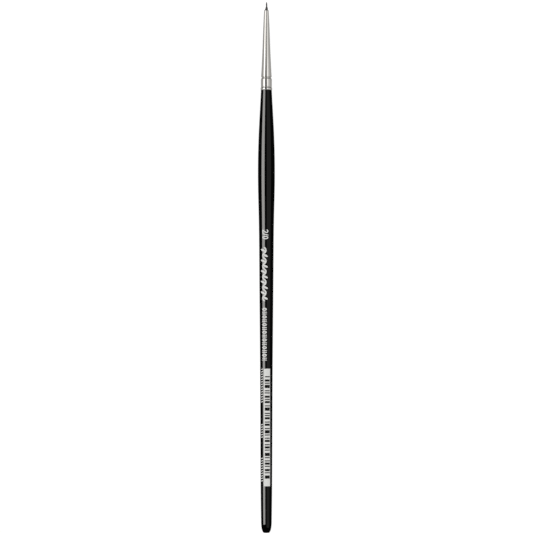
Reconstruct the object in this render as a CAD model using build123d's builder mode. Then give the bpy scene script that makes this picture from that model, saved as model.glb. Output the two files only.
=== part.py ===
from build123d import *
from math import atan2, cos, degrees, hypot, radians, sin, tan
import os

# Fine detail brush, lying along X with its tuft towards +X and its belly resting on Z = 0.
# Every dimension is in millimetres.

# Overall
HANDLE_LENGTH = 141.8  # butt to the rear edge of the ferrule
FERRULE_LENGTH = 25.6
TUFT_LENGTH = 2.6  # hair standing out of the ferrule's mouth
OVERALL_LENGTH = HANDLE_LENGTH + FERRULE_LENGTH + TUFT_LENGTH
BELLY_RADIUS = 2.70  # thickest place of the handle

# Handle: a long slim tail that swells into a belly and narrows to the ferrule
BUTT_FLAT_RADIUS = 0.70
BUTT_CORNER_RADIUS = 0.85  # the two handles of the butt's rounding curve: up the flat,
BUTT_CORNER_REACH = 0.20  # and back along the tail
TAIL_RADII = ((3.4, 1.69), (12.0, 1.80), (38.0, 1.925), (56.0, 2.02), (76.0, 2.195), (92.0, 2.316))
TAIL_START_SLOPE = (TAIL_RADII[1][1] - TAIL_RADII[0][1]) / (TAIL_RADII[1][0] - TAIL_RADII[0][0])
TAIL_END_SLOPE = (TAIL_RADII[-1][1] - TAIL_RADII[-2][1]) / (TAIL_RADII[-1][0] - TAIL_RADII[-2][0])
BELLY_RISE = (103.0, 2.485)  # distance from the butt, radius
BELLY_TOP = (114.2, 115.8)  # level stretch at the thickest place
BELLY_FALL = (128.0, 2.43)
NECK_RADIUS = 1.70
NECK_SLOPE = -0.045
LACQUER_THICKNESS = 0.12
LACQUER_TUCK = 0.4  # how far the lacquer reaches under the ferrule's lip

# Tenon of the wooden core, inside the ferrule
TENON_END = 10.6  # from the ferrule's rear edge
TENON_ROOT_RADIUS = 1.49
TENON_END_RADIUS = 1.04

# Ferrule, measured from its rear edge
LIP_RADIUS = 1.855
LIP_EDGE_RADIUS = 1.775
LIP_TOP = 0.38
LIP_BORE_RADIUS = 1.74
LIP_BORE_DEPTH = 0.5
BAND_START = 0.95
BAND_END = 3.9
BAND_RADIUS = 1.745
BAND_WALL = 0.17
CONE_RADII = ((BAND_END, 1.69), (9.4, 1.405), (15.8, 1.145), (21.0, 0.955), (25.3, 0.73))
BORE_RADII = ((BAND_END, 1.52), (9.4, 1.225), (15.8, 0.915), (21.0, 0.675), (FERRULE_LENGTH, 0.45))
RIM_RADIUS = 0.58
# Each crimp: distance, radius of the ring that the round roller's centre runs on, roller radius
CRIMPS = ((0.95, 2.00, 0.30), (3.9, 1.86, 0.35))
CRIMP_GLUE_GAP = 0.03

# Glue in the ferrule
TENON_GLUE = (0.45, 10.9)  # from the ferrule's rear edge
ROOT_GLUE = (-8.3, -5.0)  # from the ferrule's mouth
GLUE_BLOCK_RADIUS = 3.0

# Hair, measured from the ferrule's mouth
ROOT_DEPTH = 7.5
ROOT_RADIUS = 0.50
WAIST = (-6.35, -5.30)
WAIST_RADIUS = 0.43
WAIST_SHOULDER = 0.12
HAIR_RADIUS = 0.44  # where it fills the mouth
MOUTH_PACKING = 1.0  # length behind the mouth over which it does so
ROOT_CROWN = 0.10
ROOT_CROWN_DROP = 0.12
BEND_CENTRE = 0.12
BEND_GAP = 0.03
BASE_HALF_ANGLE = 55  # half angle of the cone that the free hair springs from, in degrees
HAIR_BASE = BEND_CENTRE + BEND_GAP
KNOT_RADIUS = 0.425
KNOT_SHOULDER = (0.75, 0.32)
KNOT_END = 1.1
KNOT_END_SLOPE = -0.25
POINT_CORE_RADIUS = 0.16
POINT_SWELL = (1.75, 0.19)
POINT_NECK = (2.15, 0.135)
POINT_TIP_RADIUS = 0.02
POINT_TIP_SLOPE = -0.3

# Binding thread round the waist of the hair
THREAD_DIAMETER = 0.12
THREAD_PITCH = 0.14
THREAD_TURNS = 6
THREAD_SLEEVE = 0.15  # room that the thread takes outside the waist
THREAD_CLEARANCE = 0.005

# Prints: thin films on the upper side of the handle, measured towards the butt from the
# ferrule's rear edge and sideways from the middle line
PRINT_THICKNESS = 0.03
NUMERAL_START = 44.7
NUMERAL_MIDDLE = -0.33
NUMERAL_HEIGHT = 1.9
NUMERAL_STROKE = 0.32
NUMERAL_TOP = NUMERAL_MIDDLE + (NUMERAL_HEIGHT - NUMERAL_STROKE) / 2
NUMERAL_BASE = NUMERAL_MIDDLE - (NUMERAL_HEIGHT - NUMERAL_STROKE) / 2
TWO_WIDTH = 1.10
TWO_BOWL_RADIUS = 0.42
TWO_BOWL_START = -35  # degrees
TWO_BOWL_SWEEP = 190
SLASH_FOOT = (NUMERAL_START + 1.34, NUMERAL_BASE)
SLASH_HEAD = (NUMERAL_START + 1.78, NUMERAL_TOP)
ZERO_MIDDLE = 2.56
ZERO_WIDTH = 1.10
VINE_START = 50.5
VINE_MIDDLE = -0.65
VINE_BENDS = 10
VINE_PITCH = 1.70
VINE_ARC = 120  # degrees of each bend
VINE_RADIUS = VINE_PITCH / 2 / sin(radians(VINE_ARC / 2))
VINE_STROKE = 0.42
LEAF_LENGTH = 1.5
LEAF_WIDTH = 0.66
LEAF_ANGLE = 62
LEAF_OFFSET = 0.40
LINE_START = 70.2
LINE_MIDDLE = -0.60
LINE_MARKS = 14
LINE_PITCH = 1.225
LINE_HEIGHT = 1.42
LINE_STROKE = 0.28
LINE_BAR_SPREAD = 0.58
LOZENGE_WIDTH = 0.96
LOZENGE_HOLE_WIDTH = 0.34
LOZENGE_HOLE_HEIGHT = 0.66
PANEL_START = 89.2
PANEL_LENGTH = 37.6
PANEL_WIDTH = 2.0
PANEL_MIDDLE = 0.17
PANEL_MARGIN = 0.28  # plain spine along one long side
PANEL_EDGE = 0.10  # narrow rim along the other
PANEL_QUIET = 2.4  # plain length at each end
BAR_COUNT = 32
BAR_MODULE = 0.345
BAR_CYCLE = (1, 2, 1, 3, 1, 1, 2)  # widths of the windows, in modules
GAP_CYCLE = (2, 1, 1, 2, 1)  # widths of the printed bars between them
TICK_GROUPS = ((89.4, 14), (107.1, 6), (117.9, 10))  # start, number of ticks
TICK_MIDDLE = -1.40
TICK_PITCH = 0.80
TICK_SIZE = (0.26, 0.62)
TICK_SLANT = 25

# Frame: the origin is under the middle of the brush, on the surface that the belly rests on
BUTT_X = -OVERALL_LENGTH / 2
BRUSH_AXIS = Axis((BUTT_X, 0, BELLY_RADIUS), (1, 0, 0))
MOUTH = HANDLE_LENGTH + FERRULE_LENGTH


def profile_plane(distance):
    """Plane through the brush's axis: x towards the tuft from this far along, y up."""
    return Plane(origin=(BUTT_X + distance, 0, BELLY_RADIUS), x_dir=(1, 0, 0), z_dir=(0, -1, 0))


def cross_plane(distance):
    """Plane square to the brush's axis, this far from the butt, facing the tuft."""
    return Plane(origin=(BUTT_X + distance, 0, BELLY_RADIUS), x_dir=(0, 1, 0), z_dir=(1, 0, 0))


def print_plane():
    """Plane for the prints: x towards the butt from the ferrule, y across the brush."""
    origin = (BUTT_X + HANDLE_LENGTH, 0, BELLY_RADIUS)
    return Plane(origin=origin, x_dir=(-1, 0, 0), z_dir=(0, 0, 1))


def draw_handle_surface(inset):
    """Outline of the handle from its axis at the butt to the neck, taken in by inset."""
    front = HANDLE_LENGTH + LACQUER_TUCK
    tail_points = [(distance, radius - inset) for distance, radius in TAIL_RADII]
    start, start_radius = tail_points[0]
    butt = Line((inset, 0), (inset, BUTT_FLAT_RADIUS - inset / 2))
    Bezier(
        butt @ 1,
        (inset, BUTT_CORNER_RADIUS - inset / 2),
        (BUTT_CORNER_REACH + inset, start_radius - (start - BUTT_CORNER_REACH) * TAIL_START_SLOPE),
        (start, start_radius),
    )
    tail = Polyline(*tail_points)
    rise = Spline(
        tail @ 1,
        (BELLY_RISE[0], BELLY_RISE[1] - inset),
        (BELLY_TOP[0], BELLY_RADIUS - inset),
        tangents=((1, TAIL_END_SLOPE), (1, 0)),
    )
    belly = Line(rise @ 1, (BELLY_TOP[1], BELLY_RADIUS - inset))
    Spline(
        belly @ 1,
        (BELLY_FALL[0], BELLY_FALL[1] - inset),
        (front, NECK_RADIUS - inset),
        tangents=((1, 0), (1, NECK_SLOPE)),
    )


def draw_crimp_sections(allowance):
    """Round section of each crimp, made larger by the allowance."""
    for distance, ring_radius, roller_radius in CRIMPS:
        with Locations((distance, ring_radius)):
            Circle(roller_radius + allowance)


def draw_stroke(x1, y1, x2, y2, width):
    """Round-ended straight stroke from one point to another."""
    with Locations(((x1 + x2) / 2, (y1 + y2) / 2)):
        slant = degrees(atan2(y2 - y1, x2 - x1))
        SlotCenterToCenter(hypot(x2 - x1, y2 - y1), width, rotation=slant)


# Lacquer coat: a thin shell over the handle, open where the tenon leaves it
with BuildPart() as handle_lacquer:
    with BuildSketch(profile_plane(0)):
        with BuildLine():
            draw_handle_surface(0)
            Polyline((HANDLE_LENGTH + LACQUER_TUCK, NECK_RADIUS), (HANDLE_LENGTH + LACQUER_TUCK, 0), (0, 0))
        make_face()
    revolve(axis=BRUSH_AXIS)
    with BuildSketch(profile_plane(0)):
        with BuildLine():
            draw_handle_surface(LACQUER_THICKNESS)
            Polyline(
                (HANDLE_LENGTH + LACQUER_TUCK, NECK_RADIUS - LACQUER_THICKNESS),
                (HANDLE_LENGTH + LACQUER_TUCK, 0),
                (LACQUER_THICKNESS, 0),
            )
        make_face()
    revolve(axis=BRUSH_AXIS, mode=Mode.SUBTRACT)

# Turned wooden core with its conical tenon, squeezed in by the ferrule's crimps
with BuildPart() as handle_core:
    with BuildSketch(profile_plane(0)):
        with BuildLine():
            draw_handle_surface(LACQUER_THICKNESS)
            Polyline(
                (HANDLE_LENGTH + LACQUER_TUCK, NECK_RADIUS - LACQUER_THICKNESS),
                (HANDLE_LENGTH + LACQUER_TUCK, TENON_ROOT_RADIUS),
                (HANDLE_LENGTH + TENON_END, TENON_END_RADIUS),
                (HANDLE_LENGTH + TENON_END, 0),
                (LACQUER_THICKNESS, 0),
            )
        make_face()
    revolve(axis=BRUSH_AXIS)
    with BuildSketch(profile_plane(HANDLE_LENGTH)):
        draw_crimp_sections(BAND_WALL + CRIMP_GLUE_GAP)
    revolve(axis=BRUSH_AXIS, mode=Mode.SUBTRACT)

# Space inside the ferrule, pinched by the two crimps
with BuildPart() as ferrule_cavity:
    with BuildSketch(profile_plane(HANDLE_LENGTH)):
        with BuildLine():
            Polyline(
                (0, 0),
                (0, LIP_BORE_RADIUS),
                (LIP_BORE_DEPTH, LIP_BORE_RADIUS),
                (BAND_START, BAND_RADIUS - BAND_WALL),
                (BAND_END, BAND_RADIUS - BAND_WALL),
                BORE_RADII[0],
            )
            bore = Spline(*BORE_RADII)
            Polyline(bore @ 1, (FERRULE_LENGTH, 0), (0, 0))
        make_face()
    revolve(axis=BRUSH_AXIS)
    with BuildSketch(profile_plane(HANDLE_LENGTH)):
        draw_crimp_sections(BAND_WALL)
    revolve(axis=BRUSH_AXIS, mode=Mode.SUBTRACT)

# Ferrule: seamless tube with a rolled lip, a crimped band and a long taper to the mouth
with BuildPart() as ferrule:
    with BuildSketch(profile_plane(HANDLE_LENGTH)):
        with BuildLine():
            back = Line((0, 0), (0, LIP_EDGE_RADIUS))
            lip = ThreePointArc(back @ 1, (LIP_TOP, LIP_RADIUS), (BAND_START, BAND_RADIUS))
            Polyline(lip @ 1, (BAND_END, BAND_RADIUS), CONE_RADII[0])
            cone = Spline(*CONE_RADII)
            rim = Spline(cone @ 1, (FERRULE_LENGTH, RIM_RADIUS), tangents=(cone % 1, (0, -1)))
            Polyline(rim @ 1, (FERRULE_LENGTH, 0), (0, 0))
        make_face()
    revolve(axis=BRUSH_AXIS)
    with BuildSketch(profile_plane(HANDLE_LENGTH)):
        draw_crimp_sections(0)
    revolve(axis=BRUSH_AXIS, mode=Mode.SUBTRACT)
    add(ferrule_cavity.part, mode=Mode.SUBTRACT)

# Glue that beds the tenon: what is left of the cavity round it and just past its end
with BuildPart() as tenon_adhesive:
    with BuildSketch(cross_plane(HANDLE_LENGTH + TENON_GLUE[0])):
        Circle(GLUE_BLOCK_RADIUS)
    extrude(amount=TENON_GLUE[1] - TENON_GLUE[0])
    add(ferrule_cavity.part, mode=Mode.INTERSECT)
    add(handle_core.part, mode=Mode.SUBTRACT)

# Root end of the hair bundle, waisted under the thread, crowned just inside the bend
with BuildPart() as hair_roots:
    with BuildSketch(profile_plane(MOUTH)):
        with BuildLine():
            Polyline(
                (-ROOT_DEPTH, 0),
                (-ROOT_DEPTH, ROOT_RADIUS),
                (WAIST[0] - WAIST_SHOULDER, ROOT_RADIUS),
                (WAIST[0], WAIST_RADIUS),
                (WAIST[1], WAIST_RADIUS),
                (WAIST[1] + WAIST_SHOULDER, ROOT_RADIUS),
                (-MOUTH_PACKING, HAIR_RADIUS),
                (ROOT_CROWN - ROOT_CROWN_DROP, HAIR_RADIUS),
                (ROOT_CROWN, 0),
                close=True,
            )
        make_face()
    revolve(axis=BRUSH_AXIS)

# Binding thread: a close helix round the waist
with BuildPart() as binding_thread:
    with BuildLine():
        winding = Helix(
            pitch=THREAD_PITCH,
            height=THREAD_PITCH * THREAD_TURNS,
            radius=WAIST_RADIUS + THREAD_DIAMETER / 2 + THREAD_CLEARANCE,
            center=(BUTT_X + MOUTH + WAIST[0] + THREAD_DIAMETER, 0, BELLY_RADIUS),
            direction=(1, 0, 0),
        )
    with BuildSketch(Plane(origin=winding @ 0, z_dir=winding % 0)):
        Circle(THREAD_DIAMETER / 2)
    sweep(path=winding, is_frenet=True)

# Glue round the roots, clear of the thread
with BuildPart() as root_adhesive:
    with BuildSketch(cross_plane(MOUTH + ROOT_GLUE[0])):
        Circle(GLUE_BLOCK_RADIUS)
    extrude(amount=ROOT_GLUE[1] - ROOT_GLUE[0])
    add(ferrule_cavity.part, mode=Mode.INTERSECT)
    with BuildSketch(cross_plane(MOUTH + WAIST[0])):
        Circle(WAIST_RADIUS + THREAD_SLEEVE)
    extrude(amount=WAIST[1] - WAIST[0], mode=Mode.SUBTRACT)
    add(hair_roots.part, mode=Mode.SUBTRACT)

# Long hairs of the point: a slim core that swells once and ends in the needle tip
cone_run = POINT_CORE_RADIUS / tan(radians(BASE_HALF_ANGLE))
with BuildPart() as point_hairs:
    with BuildSketch(profile_plane(MOUTH)):
        with BuildLine():
            core = Polyline(
                (HAIR_BASE, 0),
                (HAIR_BASE + cone_run, POINT_CORE_RADIUS),
                (KNOT_END, POINT_CORE_RADIUS),
            )
            point = Spline(
                core @ 1,
                POINT_SWELL,
                POINT_NECK,
                (TUFT_LENGTH, POINT_TIP_RADIUS),
                tangents=((1, 0), (1, POINT_TIP_SLOPE)),
            )
            Polyline(point @ 1, (TUFT_LENGTH, 0), (HAIR_BASE, 0))
        make_face()
    revolve(axis=BRUSH_AXIS)

# Shorter hairs of the belly: the round knot of hair at the ferrule's mouth
knot_run = KNOT_RADIUS / tan(radians(BASE_HALF_ANGLE))
with BuildPart() as belly_hairs:
    with BuildSketch(profile_plane(MOUTH)):
        with BuildLine():
            base = Line((HAIR_BASE + cone_run, POINT_CORE_RADIUS), (HAIR_BASE + knot_run, KNOT_RADIUS))
            Spline(
                base @ 1,
                KNOT_SHOULDER,
                (KNOT_END, POINT_CORE_RADIUS),
                tangents=((1, 0), (1, KNOT_END_SLOPE)),
            )
            Line((KNOT_END, POINT_CORE_RADIUS), base @ 0)
        make_face()
    revolve(axis=BRUSH_AXIS)

# Zone of the prints: a thin shell that lies on the lacquer
with BuildPart() as print_zone:
    with BuildSketch(profile_plane(0)):
        with BuildLine():
            draw_handle_surface(-PRINT_THICKNESS)
            Polyline(
                (HANDLE_LENGTH + LACQUER_TUCK, NECK_RADIUS + PRINT_THICKNESS),
                (HANDLE_LENGTH + LACQUER_TUCK, 0),
                (-PRINT_THICKNESS, 0),
            )
        make_face()
    revolve(axis=BRUSH_AXIS)
    with BuildSketch(profile_plane(0)):
        with BuildLine():
            draw_handle_surface(0)
            Polyline((HANDLE_LENGTH + LACQUER_TUCK, NECK_RADIUS), (HANDLE_LENGTH + LACQUER_TUCK, 0), (0, 0))
        make_face()
    revolve(axis=BRUSH_AXIS, mode=Mode.SUBTRACT)

# Size numeral 2/0, its strokes as slots
bowl_centre = (NUMERAL_START + TWO_WIDTH / 2, NUMERAL_TOP - TWO_BOWL_RADIUS)
bowl = CenterArc(bowl_centre, TWO_BOWL_RADIUS, TWO_BOWL_START, TWO_BOWL_SWEEP)
two_foot = (NUMERAL_START + NUMERAL_STROKE / 2, NUMERAL_BASE)
two_end = (NUMERAL_START + TWO_WIDTH - NUMERAL_STROKE / 2, NUMERAL_BASE)
with BuildPart() as size_print:
    with BuildSketch(print_plane()):
        SlotArc(bowl, NUMERAL_STROKE)
        draw_stroke((bowl @ 0).X, (bowl @ 0).Y, *two_foot, NUMERAL_STROKE)
        draw_stroke(*two_foot, *two_end, NUMERAL_STROKE)
        draw_stroke(*SLASH_FOOT, *SLASH_HEAD, NUMERAL_STROKE)
        with Locations((NUMERAL_START + ZERO_MIDDLE, NUMERAL_MIDDLE)):
            Ellipse(ZERO_WIDTH / 2, NUMERAL_HEIGHT / 2)
            Ellipse(
                ZERO_WIDTH / 2 - NUMERAL_STROKE,
                NUMERAL_HEIGHT / 2 - NUMERAL_STROKE,
                mode=Mode.SUBTRACT,
            )
    extrude(amount=BELLY_RADIUS)
    add(print_zone.part, mode=Mode.INTERSECT)

# Ornament: a running vine of equal arcs with a leaf in each bend
bends = []
for bend in range(VINE_BENDS):
    side = 1 if bend % 2 == 0 else -1
    middle = VINE_START + (bend + 0.5) * VINE_PITCH
    centre = (middle, VINE_MIDDLE - side * VINE_RADIUS * cos(radians(VINE_ARC / 2)))
    bends.append((middle, side, CenterArc(centre, VINE_RADIUS, side * 90 - VINE_ARC / 2, VINE_ARC)))
with BuildPart() as ornament_print:
    with BuildSketch(print_plane()):
        for middle, side, stem in bends:
            SlotArc(stem, VINE_STROKE)
            with Locations((middle, VINE_MIDDLE - side * LEAF_OFFSET)):
                Ellipse(LEAF_LENGTH / 2, LEAF_WIDTH / 2, rotation=LEAF_ANGLE)
    extrude(amount=BELLY_RADIUS)
    add(print_zone.part, mode=Mode.INTERSECT)

# Line of small marks: lozenges and pairs of short bars by turns
with BuildPart() as line_print:
    with BuildSketch(print_plane()):
        for mark in range(LINE_MARKS):
            middle = LINE_START + mark * LINE_PITCH
            if mark % 2 == 0:
                with Locations((middle, LINE_MIDDLE)):
                    Ellipse(LOZENGE_WIDTH / 2, LINE_HEIGHT / 2)
                    Ellipse(LOZENGE_HOLE_WIDTH / 2, LOZENGE_HOLE_HEIGHT / 2, mode=Mode.SUBTRACT)
            else:
                for offset in (-LINE_BAR_SPREAD / 2, LINE_BAR_SPREAD / 2):
                    with Locations((middle + offset, LINE_MIDDLE)):
                        Rectangle(LINE_STROKE, LINE_HEIGHT)
    extrude(amount=BELLY_RADIUS)
    add(print_zone.part, mode=Mode.INTERSECT)

# Bar panel: a plain panel with windows that show the lacquer, in two repeating cycles
with BuildPart() as bar_print:
    with BuildSketch(print_plane()):
        with Locations((PANEL_START + PANEL_LENGTH / 2, PANEL_MIDDLE)):
            Rectangle(PANEL_LENGTH, PANEL_WIDTH)
        window_height = PANEL_WIDTH - PANEL_MARGIN - PANEL_EDGE
        window_middle = PANEL_MIDDLE + (PANEL_MARGIN - PANEL_EDGE) / 2
        place = PANEL_START + PANEL_QUIET
        for bar in range(BAR_COUNT):
            width = BAR_MODULE * BAR_CYCLE[bar % len(BAR_CYCLE)]
            with Locations((place + width / 2, window_middle)):
                Rectangle(width, window_height, mode=Mode.SUBTRACT)
            place += width + BAR_MODULE * GAP_CYCLE[bar % len(GAP_CYCLE)]
    extrude(amount=BELLY_RADIUS)
    add(print_zone.part, mode=Mode.INTERSECT)

# Side marks: three groups of slanted ticks
with BuildPart() as side_print:
    with BuildSketch(print_plane()):
        for group_start, ticks in TICK_GROUPS:
            for tick in range(ticks):
                with Locations((group_start + tick * TICK_PITCH, TICK_MIDDLE)):
                    Rectangle(*TICK_SIZE, rotation=TICK_SLANT)
    extrude(amount=BELLY_RADIUS)
    add(print_zone.part, mode=Mode.INTERSECT)

os.makedirs("parts", exist_ok=True)
handle_lacquer.part.label = "handle_lacquer"
export_step(handle_lacquer.part, "parts/handle_lacquer.step")
handle_core.part.label = "handle_core"
export_step(handle_core.part, "parts/handle_core.step")
ferrule.part.label = "ferrule"
export_step(ferrule.part, "parts/ferrule.step")
tenon_adhesive.part.label = "tenon_adhesive"
export_step(tenon_adhesive.part, "parts/tenon_adhesive.step")
root_adhesive.part.label = "root_adhesive"
export_step(root_adhesive.part, "parts/root_adhesive.step")
binding_thread.part.label = "binding_thread"
export_step(binding_thread.part, "parts/binding_thread.step")
hair_roots.part.label = "hair_roots"
export_step(hair_roots.part, "parts/hair_roots.step")
belly_hairs.part.label = "belly_hairs"
export_step(belly_hairs.part, "parts/belly_hairs.step")
point_hairs.part.label = "point_hairs"
export_step(point_hairs.part, "parts/point_hairs.step")
size_print.part.label = "size_print"
export_step(size_print.part, "parts/size_print.step")
ornament_print.part.label = "ornament_print"
export_step(ornament_print.part, "parts/ornament_print.step")
line_print.part.label = "line_print"
export_step(line_print.part, "parts/line_print.step")
bar_print.part.label = "bar_print"
export_step(bar_print.part, "parts/bar_print.step")
side_print.part.label = "side_print"
export_step(side_print.part, "parts/side_print.step")
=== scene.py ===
import math
import random

import bmesh
import bpy
import numpy as np
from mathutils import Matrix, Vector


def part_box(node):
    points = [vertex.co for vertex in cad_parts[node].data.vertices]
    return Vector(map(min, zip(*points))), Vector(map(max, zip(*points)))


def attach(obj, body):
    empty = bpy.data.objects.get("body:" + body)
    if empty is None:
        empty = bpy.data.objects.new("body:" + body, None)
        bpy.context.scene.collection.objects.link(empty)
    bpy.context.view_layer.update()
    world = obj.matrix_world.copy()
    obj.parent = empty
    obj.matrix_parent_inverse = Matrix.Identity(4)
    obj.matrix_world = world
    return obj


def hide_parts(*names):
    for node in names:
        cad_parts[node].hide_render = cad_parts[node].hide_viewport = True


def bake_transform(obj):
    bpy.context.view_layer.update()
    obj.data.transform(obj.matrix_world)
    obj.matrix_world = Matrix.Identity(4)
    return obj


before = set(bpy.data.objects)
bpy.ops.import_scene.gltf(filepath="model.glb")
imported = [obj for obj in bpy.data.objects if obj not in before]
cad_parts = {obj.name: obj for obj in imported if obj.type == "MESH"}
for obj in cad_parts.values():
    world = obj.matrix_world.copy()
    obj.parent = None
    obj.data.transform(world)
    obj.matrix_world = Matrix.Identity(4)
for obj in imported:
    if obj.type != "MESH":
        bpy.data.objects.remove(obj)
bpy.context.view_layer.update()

MM = 0.001
rng = random.Random(7)

# Places along the brush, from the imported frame, in metres
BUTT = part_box("handle_lacquer")[0][0]
FERRULE_BACK, FERRULE_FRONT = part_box("ferrule")[0][0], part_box("ferrule")[1][0]
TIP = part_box("point_hairs")[1][0]
AXIS_HEIGHT = (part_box("handle_lacquer")[0][2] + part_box("handle_lacquer")[1][2]) / 2

# Handle, in millimetres from the butt
HANDLE_LENGTH = (FERRULE_BACK - BUTT) / MM
LACQUER_END = (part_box("handle_lacquer")[1][0] - BUTT) / MM
BUTT_CURVE = ((0.0, 0.70), (0.0, 0.85), (0.2, 1.633), (3.4, 1.69))
TAIL_POINTS = (
    (3.4, 1.69),
    (12.0, 1.80),
    (38.0, 1.925),
    (56.0, 2.02),
    (76.0, 2.195),
    (92.0, 2.316),
)
TAIL_SLOPES = (0.018, 0.0075)
BELLY_RISE = (103.0, 2.485)
BELLY_TOP = (114.2, 115.8)  # level stretch at the thickest place
BELLY_RADIUS = 2.697
BELLY_FALL = (128.0, 2.43)
NECK_RADIUS = 1.70
NECK_SLOPE = -0.045
LACQUER_THICKNESS = 0.12
LATHE_SEGMENTS = 160
SHARP_ANGLE = math.radians(38)  # edges that turn more than this are shaded sharp
HAIR_SHARP_ANGLE = math.radians(80)

# Ferrule, in millimetres from its rear edge
FERRULE_LENGTH = (FERRULE_FRONT - FERRULE_BACK) / MM
BAND = (0.95, 3.9)
BAND_RADIUS = 1.745
WALL = 0.17
LIP_EDGE_RADIUS = 1.775
LIP_TOP = (0.38, 1.855)
CONE_POINTS = ((3.9, 1.69), (9.4, 1.405), (15.8, 1.145), (21.0, 0.955), (25.3, 0.73))
CONE_SLOPES = (-0.056, -0.062)
BORE_POINTS = ((3.9, 1.52), (9.4, 1.225), (15.8, 0.915), (21.0, 0.675), (25.6, 0.45))
BORE_SLOPES = (-0.058, -0.045)
LIP_BORE = (0.5, 1.74)
CRIMPS = ((0.95, 2.00, 0.30), (3.9, 1.86, 0.35))  # place, roller path radius, roller radius
CRIMP_EASE = 0.035  # how softly a crimp's edge runs into the wall
RIM = (25.3, 0.73, 0.57, 0.49)  # start, outer radius, flat's outer radius, flat's inner radius
CLOSE_RINGS = (4.6, 4.7)  # rings are close together up to the first place, wider from the second
BORE_START = 25.4  # first place of the bore in front of the rim
REAR_RING = 0.02  # depth of the ring on the flat rear edge
BORE_EDGE = (0.02, 0.01)  # length and height of the bore's broken rear edge

# Hair, in millimetres from the mouth of the ferrule
HAIR_COUNT = (72, 116)  # point hairs, belly hairs
HAIR_RADIUS = 0.034
HAIR_SIDES = 6
POINT_SHARE = 0.60  # part of the bundle's radius that the point hairs fill at the mouth
BUNDLE_START = -7.4
BUNDLE = (
    (BUNDLE_START, 0.455),
    (-6.55, 0.455),
    (-6.3, 0.395),
    (-5.35, 0.395),
    (-5.1, 0.455),
    (-1.0, 0.405),
    (0.0, 0.405),
)
POINT_SHAPE = (
    (0.0, 0.245),
    (0.5, 0.235),
    (1.0, 0.195),
    (1.35, 0.190),
    (1.75, 0.205),
    (2.1, 0.180),
    (2.4, 0.110),
    (2.6, 0.030),
)
BELLY_SHAPE = ((0.0, 0.405), (0.25, 0.405), (0.5, 0.395), (0.75, 0.320), (1.0, 0.215), (1.2, 0.190))
POINT_LENGTHS = (2.6, 0.42)  # longest point hair, and how much shorter the others can be
BELLY_LENGTHS = (1.18, 0.26)
POINT_TAPER, BELLY_TAPER = 1.1, 0.6  # where the hairs begin to taper
FINE_END = 0.2  # radius of a hair's end, as a part of its full radius
HAIR_TURN = (0.10, 0.30)  # radians by which a hair winds round the axis in each millimetre
HAIR_SWAY = 0.012  # how far a hair strays from its line in each millimetre
SWAY_TURN = 3  # radians of that straying in each millimetre
ROOT_RINGS = (BUNDLE_START, -6.9, -6.55, -6.3, -5.8, -5.35, -5.1, -4.0, -2.5, -1.0)
SHOWN_FROM, RING_STEP, LEAST_RINGS = -0.4, 0.10, 6  # the closer rings where a hair shows
LEAN = (-0.075, 0.5)  # how far the tuft stands towards -Y, and where it has got there
BEND_FROM, BEND_TO = -0.36, 0.66  # ends of a stretch along the tuft, which the script leaves straight

# Print films
PRINTS = ("size_print", "ornament_print", "line_print", "bar_print", "side_print")
FILM_HEIGHT = 0.020
FILM_SINK = 0.002
FILM_STEPS = (2.0, 0.12)  # cuts along and across
FILM_TOP = 0.2  # upward part of the normal from which a face counts as the film's top

# Materials
NOISE_LOW, NOISE_HIGH = 0.3, 0.7  # noise seldom goes past these

# Floor, in metres
FLOOR_HALF = 3.0
FLOOR_CUTS = 24
FLOOR_GAP = 0.000002  # air between the brush and the floor
FLOOR_TONES = ((0.12, 0.12, 0.12), (0.13, 0.13, 0.13))
FLOOR_ROUGHNESS = 0.9
FLOOR_GLOW = 0.95  # the floor shines a little itself, as a light table does
TOUCH_FROM, TOUCH_COUNT = 8, 400  # search for the belly's touching place, in millimetres

# Surroundings: brightness to the camera, to matt surfaces, and to glossy ones below and overhead
WORLD_SEEN = 0.93
WORLD_MATT = 0.50
WORLD_GLOSS = (0.02, 0.04)

# Lights: name, angles from straight up towards +Y in degrees, ends along the brush in metres and
# radiance. The cards only show as reflections.
WARM = (1.0, 0.985, 0.955)
LACQUER_CARDS = (
    ("lacquer_key", (26, 68.5), (-0.26, 0.42), 17.5),
    ("lacquer_fill_top", (-17, -7), (-0.45, 0.9), 0.92),
    ("lacquer_fill", (-66.5, -17), (-0.45, 0.9), 0.74),
)
FERRULE_CARDS = (
    ("ferrule_key", (29, 64), (-0.30, 0.55), 1.7),
    ("ferrule_left", (64, 110), (-0.6, 0.6), 0.34),
    ("ferrule_left_low", (110, 170), (-0.6, 0.6), 0.34),
    ("ferrule_fill_top", (-30, -9), (-0.30, 0.55), 1.05),
    ("ferrule_fill", (-66, -30), (-0.30, 0.55), 0.60),
    ("ferrule_right", (-110, -66), (-0.6, 0.6), 0.36),
    ("ferrule_right_low", (-170, -110), (-0.6, 0.6), 0.36),
    ("ferrule_back", (-60, 60), (-1.9, -0.30), 0.16),
    ("ferrule_front", (-60, 60), (0.55, 2.1), 0.16),
)
TOP_LIGHT = ("top_light", (-24, 24), (-0.8, 0.8), 1.1)
TOP_DISTANCE = 1.6
KEY_LIGHT = ("key_light", (22, 76), (-0.45, 0.45), 0.4)

# View: the brush nearly fills the height of the frame
FILL = 0.99606
CAMERA_DISTANCE = 1.2
SENSOR = 36.0
RAISE = 0.0016  # how far the picture's middle lies towards the tuft, as a part of its height
SIDESTEP = -0.0002  # how far it lies to the side
CLIP_START, CLIP_END = 0.01, 20


# ---------------------------------------------------------------- curves and meshes


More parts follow.
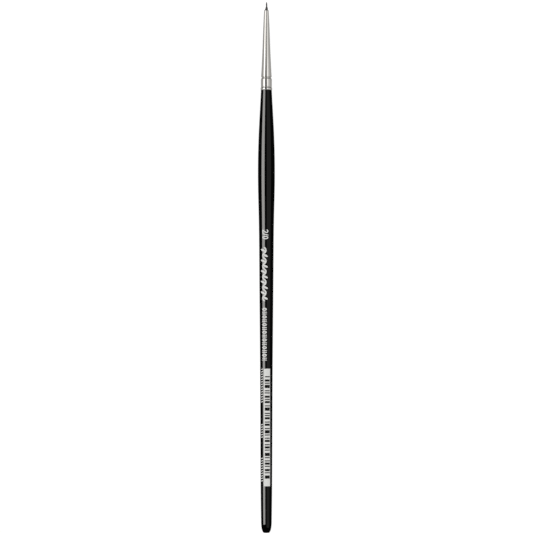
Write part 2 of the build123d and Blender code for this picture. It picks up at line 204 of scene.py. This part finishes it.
def spline(points, slopes):
    """Smooth curve through points of (place, value), with the slopes given at its two ends."""
    xs, ys = np.array(points, float).T
    steps = np.diff(xs)
    grades = np.diff(ys) / steps
    system = np.zeros((len(xs), len(xs)))
    right = np.zeros(len(xs))
    system[0, 0] = system[-1, -1] = 1
    right[0], right[-1] = slopes
    for i in range(1, len(xs) - 1):
        system[i, i - 1 : i + 2] = (1 / steps[i - 1], 2 / steps[i - 1] + 2 / steps[i], 1 / steps[i])
        right[i] = 3 * (grades[i - 1] / steps[i - 1] + grades[i] / steps[i])
    tangents = np.linalg.solve(system, right)

    def at(x):
        i = int(np.clip(np.searchsorted(xs, x) - 1, 0, len(steps) - 1))
        t = (x - xs[i]) / steps[i]
        return (
            ys[i] * (1 + 2 * t) * (1 - t) ** 2
            + tangents[i] * steps[i] * t * (1 - t) ** 2
            + ys[i + 1] * t**2 * (3 - 2 * t)
            + tangents[i + 1] * steps[i] * t**2 * (t - 1)
        )

    return at


def bezier(points, count):
    """Points along a cubic Bezier curve."""
    corners = np.array(points, float)
    rows = []
    for t in np.linspace(0, 1, count):
        weights = np.array([(1 - t) ** 3, 3 * t * (1 - t) ** 2, 3 * t**2 * (1 - t), t**3])
        rows.append(tuple(weights @ corners))
    return rows


def piecewise(points, x):
    """Value at x on the straight runs between points of (place, value)."""
    xs, ys = zip(*points)
    return float(np.interp(x, xs, ys))


def smooth_min(a, b, ease):
    """The smaller of two values, with the corner between them eased."""
    mix = max(ease - abs(a - b), 0) / ease
    return min(a, b) - mix * mix * ease / 4


def new_object(name, mesh):
    """Adds a mesh to the scene as an object."""
    piece = bpy.data.objects.new(name, mesh)
    bpy.context.scene.collection.objects.link(piece)
    return piece


def lathe(name, profile, closed):
    """Turns (x, radius) points, in metres from the world's origin, about the brush's axis."""
    shape = bmesh.new()
    rings = []
    for x, radius in profile:
        if radius <= 0:
            rings.append([shape.verts.new((x, 0, AXIS_HEIGHT))])
            continue
        ring = []
        for k in range(LATHE_SEGMENTS):
            angle = math.tau * k / LATHE_SEGMENTS
            across, up = radius * math.cos(angle), radius * math.sin(angle)
            ring.append(shape.verts.new((x, across, AXIS_HEIGHT + up)))
        rings.append(ring)
    pairs = list(zip(rings, rings[1:] + rings[:1]))
    for first, second in pairs if closed else pairs[:-1]:
        for k in range(LATHE_SEGMENTS):
            after = (k + 1) % LATHE_SEGMENTS
            if len(first) == 1:
                shape.faces.new((first[0], second[after], second[k]))
            elif len(second) == 1:
                shape.faces.new((first[k], first[after], second[0]))
            else:
                shape.faces.new((first[k], first[after], second[after], second[k]))
    bmesh.ops.recalc_face_normals(shape, faces=shape.faces)
    return finish_mesh(name, shape, SHARP_ANGLE)


def finish_mesh(name, shape, sharp_angle):
    """Smooth-shaded object from a bmesh, its edges sharp where they turn more than the angle."""
    for face in shape.faces:
        face.smooth = True
    for edge in shape.edges:
        if len(edge.link_faces) == 2:
            edge.smooth = edge.calc_face_angle(0) < sharp_angle
    mesh = bpy.data.meshes.new(name)
    shape.to_mesh(mesh)
    shape.free()
    return new_object(name, mesh)


# ---------------------------------------------------------------- handle


tail = spline(TAIL_POINTS, TAIL_SLOPES)
belly_start, belly_end = (BELLY_TOP[0], BELLY_RADIUS), (BELLY_TOP[1], BELLY_RADIUS)
belly_rise = spline((TAIL_POINTS[-1], BELLY_RISE, belly_start), (TAIL_SLOPES[1], 0))
belly_fall = spline((belly_end, BELLY_FALL, (LACQUER_END, NECK_RADIUS)), (0, NECK_SLOPE))


def handle_radius(place):
    """Radius of the lacquer, both in millimetres, this far from the butt, past its rounding."""
    if place < TAIL_POINTS[-1][0]:
        return float(tail(place))
    if place < BELLY_TOP[0]:
        return float(belly_rise(place))
    if place < BELLY_TOP[1]:
        return BELLY_RADIUS
    return float(belly_fall(place))


def handle_outline(inset):
    """Outline of the handle from the axis at the butt to the neck, in millimetres."""
    rounding = []
    for x, radius in bezier(BUTT_CURVE, 40):
        rounding.append((x + inset * (1 - x / BUTT_CURVE[-1][0]), radius - inset))
    tail_end = TAIL_POINTS[-1][0]
    places = np.concatenate((np.linspace(4, tail_end, 89), np.linspace(tail_end + 1, LACQUER_END, 100)))
    return [(inset, 0)] + rounding + [(x, handle_radius(x) - inset) for x in places]


def make_lacquer():
    """The black coat as a closed shell, from the butt to just under the ferrule's lip."""
    outside = handle_outline(0)
    inside = handle_outline(LACQUER_THICKNESS)
    profile = [(BUTT + x * MM, r * MM) for x, r in outside + inside[::-1]]
    piece = lathe("lacquer_coat", profile, closed=False)
    piece.data.materials.append(lacquer_material())
    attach(piece, "handle")
    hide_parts("handle_lacquer")


# ---------------------------------------------------------------- ferrule


def lip_curve():
    """Circle through the lip's rear edge, its top and the start of the band: centre and radius."""
    (x1, y1), (x2, y2), (x3, y3) = (0, LIP_EDGE_RADIUS), LIP_TOP, (BAND[0], BAND_RADIUS)
    lines = np.array([[x2 - x1, y2 - y1], [x3 - x2, y3 - y2]])
    middles = np.array([x2**2 - x1**2 + y2**2 - y1**2, x3**2 - x2**2 + y3**2 - y2**2]) / 2
    centre = np.linalg.solve(lines, middles)
    return centre, math.hypot(x1 - centre[0], y1 - centre[1])


def ferrule_radius(place, base, allowance):
    """Radius of the wall at a place, pressed in by the crimps' rollers."""
    radius = base
    for middle, path_radius, roller in CRIMPS:
        reach = roller + allowance
        offset = abs(place - middle)
        if offset < reach:
            pressed = path_radius - math.sqrt(reach**2 - offset**2)
            radius = smooth_min(radius, pressed, CRIMP_EASE)
    return radius


def ferrule_outside():
    """Outer outline from the rear edge to the rim, in millimetres."""
    centre, arc = lip_curve()
    cone = spline(CONE_POINTS, CONE_SLOPES)
    rows = [(0.0, LIP_EDGE_RADIUS - REAR_RING)]
    close_end, wide_start = CLOSE_RINGS
    places = np.concatenate((np.linspace(0, close_end, 185), np.linspace(wide_start, RIM[0], 110)))
    for place in places:
        if place < BAND[0]:
            base = centre[1] + math.sqrt(arc**2 - (place - centre[0]) ** 2)
        elif place < BAND[1]:
            base = BAND_RADIUS
        else:
            base = float(cone(place))
        rows.append((float(place), ferrule_radius(place, base, 0)))
    return rows


def ferrule_rim():
    """Rounded rim of the mouth, from the cone to the bore."""
    start, outer, flat_outer, flat_inner = RIM
    depth = FERRULE_LENGTH - start
    rows = []
    for k in range(1, 9):
        angle = math.pi / 2 * k / 8
        radius = flat_outer + (outer - flat_outer) * math.cos(angle)
        rows.append((start + depth * math.sin(angle), radius))
    bore = BORE_POINTS[-1][1]
    corner = flat_inner - bore
    for k in range(5):
        angle = math.pi / 2 * k / 4
        radius = bore + corner * (1 - math.sin(angle))
        rows.append((FERRULE_LENGTH - corner * (1 - math.cos(angle)), radius))
    return rows


def ferrule_inside():
    """Bore from the mouth back to the rear edge, in millimetres."""
    bore = spline(BORE_POINTS, BORE_SLOPES)
    rows = []
    close_end, wide_start = CLOSE_RINGS
    wide = np.linspace(BORE_START, wide_start, 60)
    for place in np.concatenate((wide, np.linspace(close_end, BORE_EDGE[0], 120))):
        if place > BAND[1]:
            base = float(bore(place))
        elif place > BAND[0]:
            base = BAND_RADIUS - WALL
        elif place > LIP_BORE[0]:
            share = (place - LIP_BORE[0]) / (BAND[0] - LIP_BORE[0])
            base = LIP_BORE[1] + share * (BAND_RADIUS - WALL - LIP_BORE[1])
        else:
            base = LIP_BORE[1]
        rows.append((float(place), ferrule_radius(place, base, WALL)))
    return rows + [(0.0, LIP_BORE[1] + BORE_EDGE[1])]


def make_ferrule():
    """The plated tube as one closed wall."""
    rows = ferrule_outside() + ferrule_rim() + ferrule_inside()
    profile = [(FERRULE_BACK + x * MM, r * MM) for x, r in rows]
    piece = lathe("ferrule_tube", profile, closed=True)
    piece.data.materials.append(ferrule_material())
    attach(piece, "handle")
    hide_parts("ferrule")


# ---------------------------------------------------------------- prints


def slice_film(shape):
    """Cuts the film's faces along and across the brush, so that they can follow the lacquer."""
    for axis, step in enumerate(FILM_STEPS):
        normal = [0, 0, 0]
        normal[axis] = 1
        places = [vert.co[axis] for vert in shape.verts]
        for place in np.arange(min(places), max(places), step * MM)[1:]:
            middle = [0, 0, 0]
            middle[axis] = float(place)
            parts = shape.verts[:] + shape.edges[:] + shape.faces[:]
            bmesh.ops.bisect_plane(shape, geom=parts, plane_co=middle, plane_no=normal, dist=1e-8)
    bmesh.ops.triangulate(shape, faces=shape.faces)


def film_point(shape, vert, height):
    """The vertex's place moved straight up or down to a height over the lacquer."""
    radius = (handle_radius((vert.co.x - BUTT) / MM) + height) * MM
    return vert.co.x, vert.co.y, AXIS_HEIGHT + math.sqrt(radius**2 - vert.co.y**2)


def print_film(name):
    """Thin film in the outline of a CAD print, laid on the turned lacquer."""
    shape = bmesh.new()
    shape.from_mesh(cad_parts[name].data)
    lower = [face for face in shape.faces if face.normal.z < FILM_TOP]
    bmesh.ops.delete(shape, geom=lower, context="FACES")
    bmesh.ops.remove_doubles(shape, verts=shape.verts, dist=1e-7)
    slice_film(shape)
    tops = shape.faces[:]
    rims = [edge.link_loops[0] for edge in shape.edges if len(edge.link_faces) == 1]
    corners = [(loop.vert, loop.link_loop_next.vert) for loop in rims]
    under = {vert: shape.verts.new(film_point(shape, vert, -FILM_SINK)) for vert in shape.verts[:]}
    for vert in under:
        vert.co = film_point(shape, vert, FILM_HEIGHT)
    for first, second in corners:
        shape.faces.new((second, first, under[first], under[second]))
    for face in tops:
        shape.faces.new([under[vert] for vert in reversed(face.verts)])
    piece = finish_mesh(name.replace("_print", "_film"), shape, SHARP_ANGLE)
    piece.data.materials.append(bpy.data.materials["white_print"])
    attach(piece, "handle")
    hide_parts(name)


def make_prints():
    """All the prints on the handle."""
    print_material()
    for name in PRINTS:
        print_film(name)


# ---------------------------------------------------------------- hair


def hair_rings(end):
    """Places of a hair's rings along the brush, closer where it shows."""
    count = max(LEAST_RINGS, int((end - SHOWN_FROM) / RING_STEP))
    return list(ROOT_RINGS) + list(np.linspace(SHOWN_FROM, end, count))


def add_hair(shape, tone_layer, path, radii, tone):
    """Adds one closed tapering hair along a path."""
    rings = []
    for (x, y, z), radius in zip(path, radii):
        ring = []
        for k in range(HAIR_SIDES):
            angle = math.tau * k / HAIR_SIDES
            across = (y + radius * math.cos(angle)) * MM
            up = (z + radius * math.sin(angle)) * MM
            vert = shape.verts.new((x * MM + FERRULE_FRONT, across, AXIS_HEIGHT + up))
            vert[tone_layer] = tone
            ring.append(vert)
        rings.append(ring)
    for first, second in zip(rings, rings[1:]):
        for k in range(HAIR_SIDES):
            after = (k + 1) % HAIR_SIDES
            shape.faces.new((first[k], first[after], second[after], second[k]))
    shape.faces.new(rings[0][::-1])
    shape.faces.new(rings[-1])


def hair_piece(name, places, ends, radius_at, taper_start, nodes):
    """One group of hairs, each with its place in the bundle and its length."""
    shape = bmesh.new()
    tone_layer = shape.verts.layers.float.new("hair_tone")
    for (share, angle), end in zip(places, ends):
        turn = rng.uniform(*HAIR_TURN)
        sway = rng.uniform(-HAIR_SWAY, HAIR_SWAY)
        phase = rng.uniform(0, math.tau)
        path, radii = [], []
        for place in hair_rings(end):
            if place <= 0:
                radial = share * piecewise(BUNDLE, place)
            else:
                radial = radius_at(share, place)
            around = angle + turn * max(place, 0)
            drift = sway * max(place, 0) * math.sin(SWAY_TURN * place + phase)
            lean = LEAN[0] * min(max(place, 0) / LEAN[1], 1)
            across = radial * math.cos(around) + drift + lean
            path.append((place, across, radial * math.sin(around) - drift))
            fade = min(max((end - place) / (end - taper_start), 0), 1)
            radii.append(HAIR_RADIUS * (FINE_END + (1 - FINE_END) * fade**0.6))
        add_hair(shape, tone_layer, path, radii, rng.uniform(0, 1))
    bmesh.ops.recalc_face_normals(shape, faces=shape.faces)
    piece = finish_mesh(name, shape, HAIR_SHARP_ANGLE)
    piece.data.materials.append(hair_material())
    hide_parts(*nodes)
    end = (FERRULE_FRONT + BEND_TO * MM, 0, AXIS_HEIGHT)
    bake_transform(piece)


def point_radius(share, place):
    """Distance from the axis of a point hair outside the ferrule."""
    return share / POINT_SHARE * piecewise(POINT_SHAPE, place)


def belly_radius(share, place):
    """Distance from the axis of a belly hair, between the point hairs and the round outside."""
    layer = (share - POINT_SHARE) / (1 - POINT_SHARE)
    inner = piecewise(POINT_SHAPE, place) + HAIR_RADIUS * 0.6
    outer = max(piecewise(BELLY_SHAPE, place), inner)
    return inner + layer * (outer - inner)


def make_hair():
    """Point hairs in the middle of the bundle and belly hairs round them."""
    point_count, belly_count = HAIR_COUNT
    golden = math.pi * (3 - math.sqrt(5))
    point_places = []
    for i in range(point_count):
        point_places.append((POINT_SHARE * math.sqrt((i + 0.5) / point_count), i * golden))
    longest, spread = POINT_LENGTHS
    point_ends = [longest - spread * rng.random() ** 1.4 for _ in point_places]
    point_ends[0] = longest
    replaced = ["point_hairs", "hair_roots"]
    hair_piece("point_hair_strands", point_places, point_ends, point_radius, POINT_TAPER, replaced)
    inner_share = POINT_SHARE**2
    belly_places = []
    for i in range(belly_count):
        share = math.sqrt(inner_share + (1 - inner_share) * (i + 0.5) / belly_count)
        belly_places.append((share, i * golden))
    longest, spread = BELLY_LENGTHS
    belly_ends = [longest - spread * rng.random() for _ in belly_places]
    replaced = ["belly_hairs"]
    hair_piece("belly_hair_strands", belly_places, belly_ends, belly_radius, BELLY_TAPER, replaced)


# ---------------------------------------------------------------- materials


class Nodes:
    """Small helper that builds a node material and keeps its shader."""

    def __init__(self, name):
        self.material = bpy.data.materials.new(name)
        self.material.use_nodes = True
        self.tree = self.material.node_tree
        self.shader = self.tree.nodes["Principled BSDF"]
        self.coordinates = self.add("ShaderNodeTexCoord").outputs["Object"]

    def add(self, kind, **settings):
        """A new node with its settings."""
        node = self.tree.nodes.new(kind)
        for key, value in settings.items():
            setattr(node, key, value)
        return node

    def link(self, output, target):
        """Joins an output to an input."""
        self.tree.links.new(output, target)

    def stretched(self, scale):
        """Object coordinates scaled by different amounts along the brush, across it and up."""
        mapping = self.add("ShaderNodeMapping")
        mapping.inputs["Scale"].default_value = scale
        self.link(self.coordinates, mapping.inputs["Vector"])
        return mapping.outputs["Vector"]

    def noise(self, vector, scale, detail=3.0, roughness=0.5):
        """Noise that varies over the surface."""
        node = self.add("ShaderNodeTexNoise")
        node.inputs["Scale"].default_value = scale
        node.inputs["Detail"].default_value = detail
        node.inputs["Roughness"].default_value = roughness
        self.link(vector, node.inputs["Vector"])
        return node.outputs["Fac"]

    def ramp(self, factor, low, high, start, end):
        """Colour between low and high by a factor."""
        node = self.add("ShaderNodeValToRGB")
        node.color_ramp.elements[0].position = start
        node.color_ramp.elements[0].color = (*low, 1)
        node.color_ramp.elements[1].position = end
        node.color_ramp.elements[1].color = (*high, 1)
        self.link(factor, node.inputs["Fac"])
        return node.outputs["Color"]

    def spread(self, factor, low, high):
        """Number between low and high by a factor."""
        node = self.add("ShaderNodeMapRange")
        node.inputs["From Min"].default_value = NOISE_LOW
        node.inputs["From Max"].default_value = NOISE_HIGH
        node.inputs["To Min"].default_value = low
        node.inputs["To Max"].default_value = high
        self.link(factor, node.inputs["Value"])
        return node.outputs["Result"]

    def bump(self, height, strength, distance, below=None):
        """Normal of a relief by a height, over any relief below it."""
        node = self.add("ShaderNodeBump")
        node.inputs["Strength"].default_value = strength
        node.inputs["Distance"].default_value = distance
        self.link(height, node.inputs["Height"])
        if below is not None:
            self.link(below, node.inputs["Normal"])
        return node.outputs["Normal"]

    def colour(self, factor, low, high, start=NOISE_LOW, end=NOISE_HIGH):
        """Base colour between low and high by a factor."""
        ramp = self.ramp(factor, low, high, start, end)
        self.link(ramp, self.shader.inputs["Base Color"])

    def roughness(self, factor, low, high):
        """Roughness between low and high by a factor."""
        self.link(self.spread(factor, low, high), self.shader.inputs["Roughness"])

    def relief(self, height, strength, distance, below=None):
        """Fine relief by a height, over any relief below it."""
        normal = self.bump(height, strength, distance, below)
        self.link(normal, self.shader.inputs["Normal"])


def lacquer_material():
    """Deep black gloss with faint orange peel and a few dull rub marks."""
    nodes = Nodes("black_lacquer")
    peel = nodes.noise(nodes.coordinates, 900.0, 2.0)
    rub = nodes.noise(nodes.stretched((160.0, 700.0, 700.0)), 1.0, 4.0)
    nodes.colour(rub, (0.0008, 0.0008, 0.0008), (0.0016, 0.0015, 0.0014))
    nodes.roughness(rub, 0.02, 0.04)
    nodes.relief(peel, 0.10, 0.00001)
    nodes.shader.inputs["Specular IOR Level"].default_value = 0.21
    return nodes.material


def ferrule_material():
    """Nickel plate over drawn metal, with fine turning marks round it and slight tarnish."""
    nodes = Nodes("plated_ferrule")
    turning = nodes.noise(nodes.stretched((60000.0, 900.0, 900.0)), 1.0, 2.0)
    dents = nodes.noise(nodes.coordinates, 1100.0, 2.0)
    tarnish = nodes.noise(nodes.stretched((350.0, 900.0, 900.0)), 1.0, 4.0)
    nodes.colour(tarnish, (0.80, 0.785, 0.76), (0.88, 0.87, 0.85))
    nodes.roughness(tarnish, 0.03, 0.06)
    nodes.shader.inputs["Metallic"].default_value = 1.0
    lines = nodes.bump(turning, 0.20, 0.000001)
    nodes.relief(dents, 0.05, 0.00001, lines)
    return nodes.material


def print_material():
    """White foil print, slightly mottled where it is thin."""
    nodes = Nodes("white_print")
    mottle = nodes.noise(nodes.coordinates, 6000.0, 4.0)
    nodes.colour(mottle, (0.62, 0.615, 0.60), (0.72, 0.715, 0.70))
    nodes.roughness(mottle, 0.35, 0.55)
    nodes.relief(mottle, 0.3, 0.000003)
    nodes.shader.inputs["Specular IOR Level"].default_value = 0.3


def hair_material():
    """Dark hair, its tone different from hair to hair and streaked along its length."""
    if "hair" in bpy.data.materials:
        return bpy.data.materials["hair"]
    nodes = Nodes("hair")
    tone = nodes.add("ShaderNodeAttribute", attribute_name="hair_tone").outputs["Fac"]
    streak = nodes.noise(nodes.stretched((1500.0, 20000.0, 20000.0)), 1.0, 3.0)
    mixed = nodes.add("ShaderNodeMath", operation="MULTIPLY_ADD")
    mixed.inputs[1].default_value = 0.6
    nodes.link(tone, mixed.inputs[0])
    nodes.link(streak, mixed.inputs[2])
    nodes.colour(mixed.outputs[0], (0.020, 0.019, 0.018), (0.080, 0.077, 0.073), end=1.0)
    nodes.roughness(streak, 0.30, 0.45)
    nodes.relief(streak, 0.3, 0.000003)
    return nodes.material


def wood_material():
    """Pale turned wood with grain along the handle."""
    nodes = Nodes("handle_wood")
    grain = nodes.noise(nodes.stretched((60.0, 2600.0, 2600.0)), 1.0, 5.0, 0.6)
    pores = nodes.noise(nodes.stretched((500.0, 9000.0, 9000.0)), 1.0, 2.0)
    nodes.colour(grain, (0.42, 0.25, 0.12), (0.66, 0.46, 0.27))
    nodes.roughness(pores, 0.55, 0.75)
    nodes.relief(pores, 0.3, 0.00002)
    return nodes.material


def glue_material():
    """Cured amber glue, unevenly coloured."""
    nodes = Nodes("glue")
    cloud = nodes.noise(nodes.coordinates, 1800.0, 3.0)
    nodes.colour(cloud, (0.36, 0.20, 0.06), (0.60, 0.40, 0.16))
    nodes.roughness(cloud, 0.2, 0.35)
    nodes.relief(cloud, 0.2, 0.00002)
    return nodes.material


def thread_material():
    """Undyed twisted thread."""
    nodes = Nodes("thread")
    twist = nodes.noise(nodes.stretched((20000.0, 9000.0, 9000.0)), 1.0, 3.0)
    nodes.colour(twist, (0.58, 0.52, 0.42), (0.82, 0.78, 0.68))
    nodes.roughness(twist, 0.7, 0.9)
    nodes.relief(twist, 0.5, 0.00001)
    return nodes.material


def dress_inner_parts():
    """Materials of the CAD parts that stay: the core, the glue and the thread."""
    glue = glue_material()
    dress = {
        "handle_core": wood_material(),
        "tenon_adhesive": glue,
        "root_adhesive": glue,
        "binding_thread": thread_material(),
    }
    for name, material in dress.items():
        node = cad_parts[name]
        node.data.materials.clear()
        node.data.materials.append(material)


# ---------------------------------------------------------------- studio


def floor_slope():
    """Slope of the surface that touches both the tail of the handle and its belly."""
    tail_end, tail_radius = BUTT_CURVE[-1]
    tail_gap = BELLY_RADIUS - tail_radius
    rises = []
    for place in np.linspace(TOUCH_FROM, HANDLE_LENGTH, TOUCH_COUNT):
        rises.append((BELLY_RADIUS - handle_radius(place) - tail_gap) / (place - tail_end))
    return min(rises), tail_end, tail_gap


def make_floor():
    """Plain pale floor on which the brush lies, as a broad smooth sheet."""
    slope, tail_end, tail_gap = floor_slope()
    shape = bmesh.new()
    grid = []
    for i in range(FLOOR_CUTS + 1):
        row = []
        for j in range(FLOOR_CUTS + 1):
            x = -FLOOR_HALF + 2 * FLOOR_HALF * i / FLOOR_CUTS
            y = -FLOOR_HALF + 2 * FLOOR_HALF * j / FLOOR_CUTS
            z = tail_gap * MM + slope * (x - BUTT - tail_end * MM) - FLOOR_GAP
            row.append(shape.verts.new((x, y, z)))
        grid.append(row)
    for i in range(FLOOR_CUTS):
        for j in range(FLOOR_CUTS):
            shape.faces.new((grid[i][j], grid[i + 1][j], grid[i + 1][j + 1], grid[i][j + 1]))
    floor = finish_mesh("floor", shape, SHARP_ANGLE)
    nodes = Nodes("floor_paper")
    mottle = nodes.noise(nodes.coordinates, 300.0, 3.0)
    nodes.colour(mottle, *FLOOR_TONES)
    nodes.shader.inputs["Roughness"].default_value = FLOOR_ROUGHNESS
    nodes.shader.inputs["Emission Color"].default_value = (1, 1, 1, 1)
    nodes.shader.inputs["Emission Strength"].default_value = FLOOR_GLOW
    floor.data.materials.append(nodes.material)
    floor.visible_glossy = False


def area_light(name, angles, ends, radiance, tint=(1, 1, 1), distance=1.0, shines_on=None):
    """Rectangular light seen from the brush between two angles, from straight up towards +Y.

    It runs between two places along the brush and faces the brush. With shines_on it is a card
    that only shows as a reflection in those pieces; without, it lights matt surfaces.
    """
    middle = math.radians((angles[0] + angles[1]) / 2)
    width = 2 * distance * math.tan(math.radians(angles[1] - angles[0]) / 2)
    length = ends[1] - ends[0]
    data = bpy.data.lights.new(name, "AREA")
    data.shape = "RECTANGLE"
    data.size = length
    data.size_y = width
    data.energy = radiance * math.pi * length * width
    data.color = tint
    lamp = bpy.data.objects.new(name, data)
    along = (ends[0] + ends[1]) / 2
    lamp.location = (along, distance * math.sin(middle), distance * math.cos(middle))
    lamp.rotation_euler = (-middle, 0, 0)
    lamp.visible_camera = False
    lamp.visible_diffuse = shines_on is None
    lamp.visible_glossy = shines_on is not None
    if shines_on is not None:
        lamp.light_linking.receiver_collection = shines_on
    bpy.context.scene.collection.objects.link(lamp)


def make_world():
    """Surroundings: pale to the camera, even to matt surfaces, nearly black to glossy ones."""
    world = bpy.data.worlds.new("studio")
    world.use_nodes = True
    bpy.context.scene.world = world
    tree = world.node_tree
    background = tree.nodes["Background"]
    path = tree.nodes.new("ShaderNodeLightPath")
    direction = tree.nodes.new("ShaderNodeTexCoord")
    split = tree.nodes.new("ShaderNodeSeparateXYZ")
    tree.links.new(direction.outputs["Generated"], split.inputs[0])
    gloss = tree.nodes.new("ShaderNodeValToRGB")
    for element, grey in zip(gloss.color_ramp.elements, WORLD_GLOSS):
        element.color = (grey, grey, grey, 1)
    height = tree.nodes.new("ShaderNodeMapRange")
    height.inputs["From Min"].default_value = -1.0
    tree.links.new(split.outputs["Z"], height.inputs["Value"])
    tree.links.new(height.outputs["Result"], gloss.inputs["Fac"])
    first = tree.nodes.new("ShaderNodeMix")
    first.data_type = "RGBA"
    first.inputs[6].default_value = (WORLD_MATT, WORLD_MATT, WORLD_MATT, 1)
    tree.links.new(path.outputs["Is Glossy Ray"], first.inputs[0])
    tree.links.new(gloss.outputs["Color"], first.inputs[7])
    second = tree.nodes.new("ShaderNodeMix")
    second.data_type = "RGBA"
    second.inputs[7].default_value = (WORLD_SEEN, WORLD_SEEN, WORLD_SEEN, 1)
    tree.links.new(path.outputs["Is Camera Ray"], second.inputs[0])
    tree.links.new(first.outputs[2], second.inputs[6])
    tree.links.new(second.outputs[2], background.inputs["Color"])


def gloss_group(name, *pieces):
    """Pieces that the same cards are reflected in."""
    group = bpy.data.collections.new(name)
    for piece in pieces:
        group.objects.link(bpy.data.objects[piece])
    return group


def make_lights():
    """Cards for the lacquer, others for the ferrule and the hair, and soft light for matt surfaces."""
    lacquer = gloss_group("lacquer_gloss", "lacquer_coat")
    for name, angles, ends, radiance in LACQUER_CARDS:
        area_light(name, angles, ends, radiance, WARM, shines_on=lacquer)
    metal = gloss_group("ferrule_gloss", "ferrule_tube", "point_hair_strands", "belly_hair_strands")
    for name, angles, ends, radiance in FERRULE_CARDS:
        area_light(name, angles, ends, radiance, WARM, shines_on=metal)
    area_light(*TOP_LIGHT, distance=TOP_DISTANCE)
    area_light(*KEY_LIGHT)


def make_camera():
    """Camera straight above the brush, its tuft to the top of the picture."""
    length = TIP - BUTT
    height = length / FILL
    data = bpy.data.cameras.new("camera")
    data.sensor_width = SENSOR
    data.lens = SENSOR * CAMERA_DISTANCE / height
    data.clip_start = CLIP_START
    data.clip_end = CLIP_END
    camera = bpy.data.objects.new("camera", data)
    middle = (BUTT + TIP) / 2
    camera.location = (middle + RAISE * height, SIDESTEP * height, AXIS_HEIGHT + CAMERA_DISTANCE)
    camera.rotation_euler = (0, 0, -math.pi / 2)
    bpy.context.scene.collection.objects.link(camera)
    bpy.context.scene.camera = camera


# ---------------------------------------------------------------- scene

make_lacquer()
make_ferrule()
make_prints()
make_hair()
dress_inner_parts()
make_floor()
make_world()
make_lights()
make_camera()
bpy.context.scene.view_settings.view_transform = "Standard"
